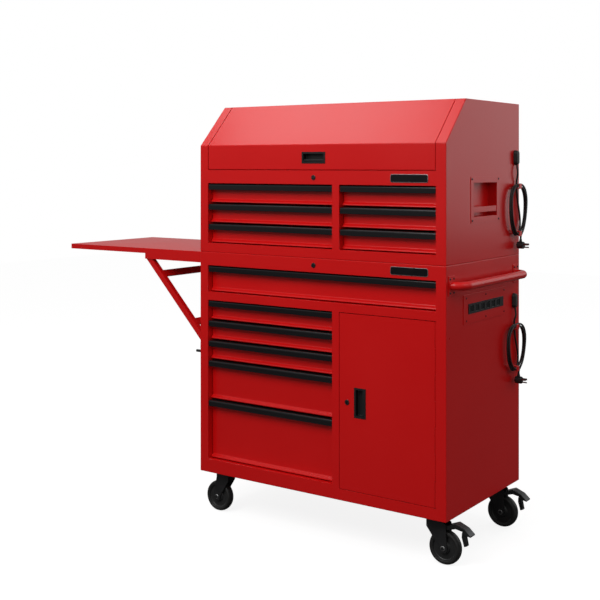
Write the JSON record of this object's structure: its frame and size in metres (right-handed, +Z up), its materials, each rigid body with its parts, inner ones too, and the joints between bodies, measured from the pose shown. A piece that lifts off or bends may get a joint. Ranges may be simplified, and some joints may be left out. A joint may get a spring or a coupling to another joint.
{
  "type": "rolling tool chest",
  "caption": "Steel rolling tool cabinet with a slope-front top chest, drawers, a door, a lid, a fold-out side shelf and casters.",
  "frame": {"origin": "on the floor, at the middle of the whole footprint with the side shelf out", "axes": "+Z up, -Y out of the front, +X towards the door side; the side shelf reaches to -X"},
  "size_m": [1.854, 0.617, 1.5445],
  "materials": {
    "badge_black": "gloss",
    "black_grip": "satin",
    "black_plastic": "satin",
    "caster_steel": "satin",
    "cord_rubber": "matte",
    "lock_metal": "satin",
    "red_case": "gloss",
    "red_paint": "gloss",
    "strut_black": "satin",
    "wheel_rubber": "satin",
    "zinc": "satin"
  },
  "bodies": {
    "case": {"cabinet_shell": "red_case", "chest_shell": "red_case", "drawer_rails": "zinc", "push_handle": "red_paint", "carry_handles": "red_paint", "power_panel": "red_paint", "power_strips": "black_plastic", "cord_grommets": "black_plastic", "cord_hooks": "red_paint", "badges": "badge_black", "caster_mounts": "caster_steel", "shelf_brackets": "red_paint", "chest_cord_tail": "cord_rubber", "chest_cord_hank": "cord_rubber", "cabinet_cord_tail": "cord_rubber", "cabinet_cord_hank": "cord_rubber", "plugs": "black_plastic"},
    "lid": {"lid_panel": "red_paint", "lid_handle": "black_plastic"},
    "strut_tube": {"strut_tubes": "strut_black"},
    "strut_rod": {"strut_rods": "zinc"},
    "door": {"door_panel": "red_paint", "door_handle": "black_plastic"},
    "chest_lock": {"chest_lock": "lock_metal"},
    "cabinet_lock": {"cabinet_lock": "lock_metal"},
    "door_lock": {"door_lock": "lock_metal"},
    "shelf": {"side_shelf": "red_paint"},
    "brace": {"shelf_brace": "red_paint"},
    "drawer_chest_left_1": {"drawer_chest_left_1": "red_paint", "grip_chest_left_1": "black_grip"},
    "drawer_chest_left_2": {"drawer_chest_left_2": "red_paint", "grip_chest_left_2": "black_grip"},
    "drawer_chest_left_3": {"drawer_chest_left_3": "red_paint", "grip_chest_left_3": "black_grip"},
    "drawer_chest_right_1": {"drawer_chest_right_1": "red_paint", "grip_chest_right_1": "black_grip"},
    "drawer_chest_right_2": {"drawer_chest_right_2": "red_paint", "grip_chest_right_2": "black_grip"},
    "drawer_chest_right_3": {"drawer_chest_right_3": "red_paint", "grip_chest_right_3": "black_grip"},
    "drawer_wide": {"drawer_wide": "red_paint", "grip_wide": "black_grip"},
    "drawer_cabinet_1": {"drawer_cabinet_1": "red_paint", "grip_cabinet_1": "black_grip"},
    "drawer_cabinet_2": {"drawer_cabinet_2": "red_paint", "grip_cabinet_2": "black_grip"},
    "drawer_cabinet_3": {"drawer_cabinet_3": "red_paint", "grip_cabinet_3": "black_grip"},
    "drawer_medium": {"drawer_medium": "red_paint", "grip_medium": "black_grip"},
    "drawer_deep": {"drawer_deep": "red_paint", "grip_deep": "black_grip"},
    "wheel_front_right": {"wheel_front_right": "wheel_rubber"},
    "fork_front_right": {"swivel_fork_front_right": "caster_steel"},
    "pedal_front_right": {"brake_pedal_front_right": "caster_steel"},
    "wheel_rear_right": {"wheel_rear_right": "wheel_rubber"},
    "fork_rear_right": {"swivel_fork_rear_right": "caster_steel"},
    "pedal_rear_right": {"brake_pedal_rear_right": "caster_steel"},
    "wheel_front_left": {"wheel_front_left": "wheel_rubber"},
    "wheel_rear_left": {"wheel_rear_left": "wheel_rubber"}
  },
  "joints": [
    {"name": "lid_hinge", "type": "hinge", "parent": "case", "child": "lid", "pos_m": [0.3435, 0.263, 1.542], "axis": [-1, 0, 0], "range_deg": [0, 75]},
    {"name": "strut_turn", "type": "hinge", "parent": "case", "child": "strut_tube", "pos_m": [0.3435, 0.209, 1.3], "axis": [-1, 0, 0], "range_deg": [0, 31.35]},
    {"name": "strut_slide", "type": "slide", "parent": "strut_tube", "child": "strut_rod", "axis": [0, -0.5556, 0.8315], "range_m": [0, 0.1693]},
    {"name": "slide_chest_left_1", "type": "slide", "parent": "case", "child": "drawer_chest_left_1", "axis": [0, -1, 0], "range_m": [0, 0.4]},
    {"name": "slide_chest_left_2", "type": "slide", "parent": "case", "child": "drawer_chest_left_2", "axis": [0, -1, 0], "range_m": [0, 0.4]},
    {"name": "slide_chest_left_3", "type": "slide", "parent": "case", "child": "drawer_chest_left_3", "axis": [0, -1, 0], "range_m": [0, 0.4]},
    {"name": "slide_chest_right_1", "type": "slide", "parent": "case", "child": "drawer_chest_right_1", "axis": [0, -1, 0], "range_m": [0, 0.4]},
    {"name": "slide_chest_right_2", "type": "slide", "parent": "case", "child": "drawer_chest_right_2", "axis": [0, -1, 0], "range_m": [0, 0.4]},
    {"name": "slide_chest_right_3", "type": "slide", "parent": "case", "child": "drawer_chest_right_3", "axis": [0, -1, 0], "range_m": [0, 0.4]},
    {"name": "slide_wide", "type": "slide", "parent": "case", "child": "drawer_wide", "axis": [0, -1, 0], "range_m": [0, 0.4]},
    {"name": "slide_cabinet_1", "type": "slide", "parent": "case", "child": "drawer_cabinet_1", "axis": [0, -1, 0], "range_m": [0, 0.4]},
    {"name": "slide_cabinet_2", "type": "slide", "parent": "case", "child": "drawer_cabinet_2", "axis": [0, -1, 0], "range_m": [0, 0.4]},
    {"name": "slide_cabinet_3", "type": "slide", "parent": "case", "child": "drawer_cabinet_3", "axis": [0, -1, 0], "range_m": [0, 0.4]},
    {"name": "slide_medium", "type": "slide", "parent": "case", "child": "drawer_medium", "axis": [0, -1, 0], "range_m": [0, 0.4]},
    {"name": "slide_deep", "type": "slide", "parent": "case", "child": "drawer_deep", "axis": [0, -1, 0], "range_m": [0, 0.4]},
    {"name": "door_hinge", "type": "hinge", "parent": "case", "child": "door", "pos_m": [0.8233, -0.2885, 0.2005], "axis": [0, 0, 1], "range_deg": [0, 98]},
    {"name": "chest_lock_turn", "type": "hinge", "parent": "case", "child": "chest_lock", "pos_m": [0.3435, -0.291, 1.27471], "axis": [0, -1, 0], "range_deg": [-90, 0]},
    {"name": "cabinet_lock_turn", "type": "hinge", "parent": "case", "child": "cabinet_lock", "pos_m": [0.3435, -0.291, 0.966], "axis": [0, -1, 0], "range_deg": [-90, 0]},
    {"name": "door_lock_turn", "type": "hinge", "parent": "door", "child": "door_lock", "pos_m": [0.484, -0.291, 0.502], "axis": [0, -1, 0], "range_deg": [-90, 0]},
    {"name": "shelf_fold", "type": "hinge", "parent": "case", "child": "shelf", "pos_m": [-0.202, -0.291, 0.958], "axis": [0, -1, 0], "range_deg": [0, 90]},
    {"name": "brace_turn", "type": "hinge", "parent": "shelf", "child": "brace", "pos_m": [-0.487, -0.291, 0.948], "axis": [0, 1, 0], "range_deg": [0, 134]},
    {"name": "swivel_front_right", "type": "hinge", "parent": "case", "child": "fork_front_right", "pos_m": [0.794, -0.226, 0.057], "axis": [0, 0, 1], "continuous": true},
    {"name": "roll_front_right", "type": "hinge", "parent": "fork_front_right", "child": "wheel_front_right", "pos_m": [0.829, -0.226, 0.057], "axis": [0, 1, 0], "continuous": true},
    {"name": "brake_front_right", "type": "hinge", "parent": "fork_front_right", "child": "pedal_front_right", "pos_m": [0.831, -0.226, 0.122], "axis": [0, 1, 0], "range_deg": [0, 8]},
    {"name": "swivel_rear_right", "type": "hinge", "parent": "case", "child": "fork_rear_right", "pos_m": [0.794, 0.226, 0.057], "axis": [0, 0, 1], "continuous": true},
    {"name": "roll_rear_right", "type": "hinge", "parent": "fork_rear_right", "child": "wheel_rear_right", "pos_m": [0.829, 0.226, 0.057], "axis": [0, 1, 0], "continuous": true},
    {"name": "brake_rear_right", "type": "hinge", "parent": "fork_rear_right", "child": "pedal_rear_right", "pos_m": [0.831, 0.226, 0.122], "axis": [0, 1, 0], "range_deg": [0, 8]},
    {"name": "roll_front_left", "type": "hinge", "parent": "case", "child": "wheel_front_left", "pos_m": [-0.132, -0.226, 0.057], "axis": [0, 1, 0], "continuous": true},
    {"name": "roll_rear_left", "type": "hinge", "parent": "case", "child": "wheel_rear_left", "pos_m": [-0.132, 0.226, 0.057], "axis": [0, 1, 0], "continuous": true}
  ],
  "couplings": [
    {"joint": "strut_turn", "follows": "lid_hinge", "ratio": 0.41137},
    {"joint": "strut_slide", "follows": "lid_hinge", "m_per_rad": 0.12782},
    {"joint": "brace_turn", "follows": "shelf_fold", "ratio": 1.4834}
  ]
}
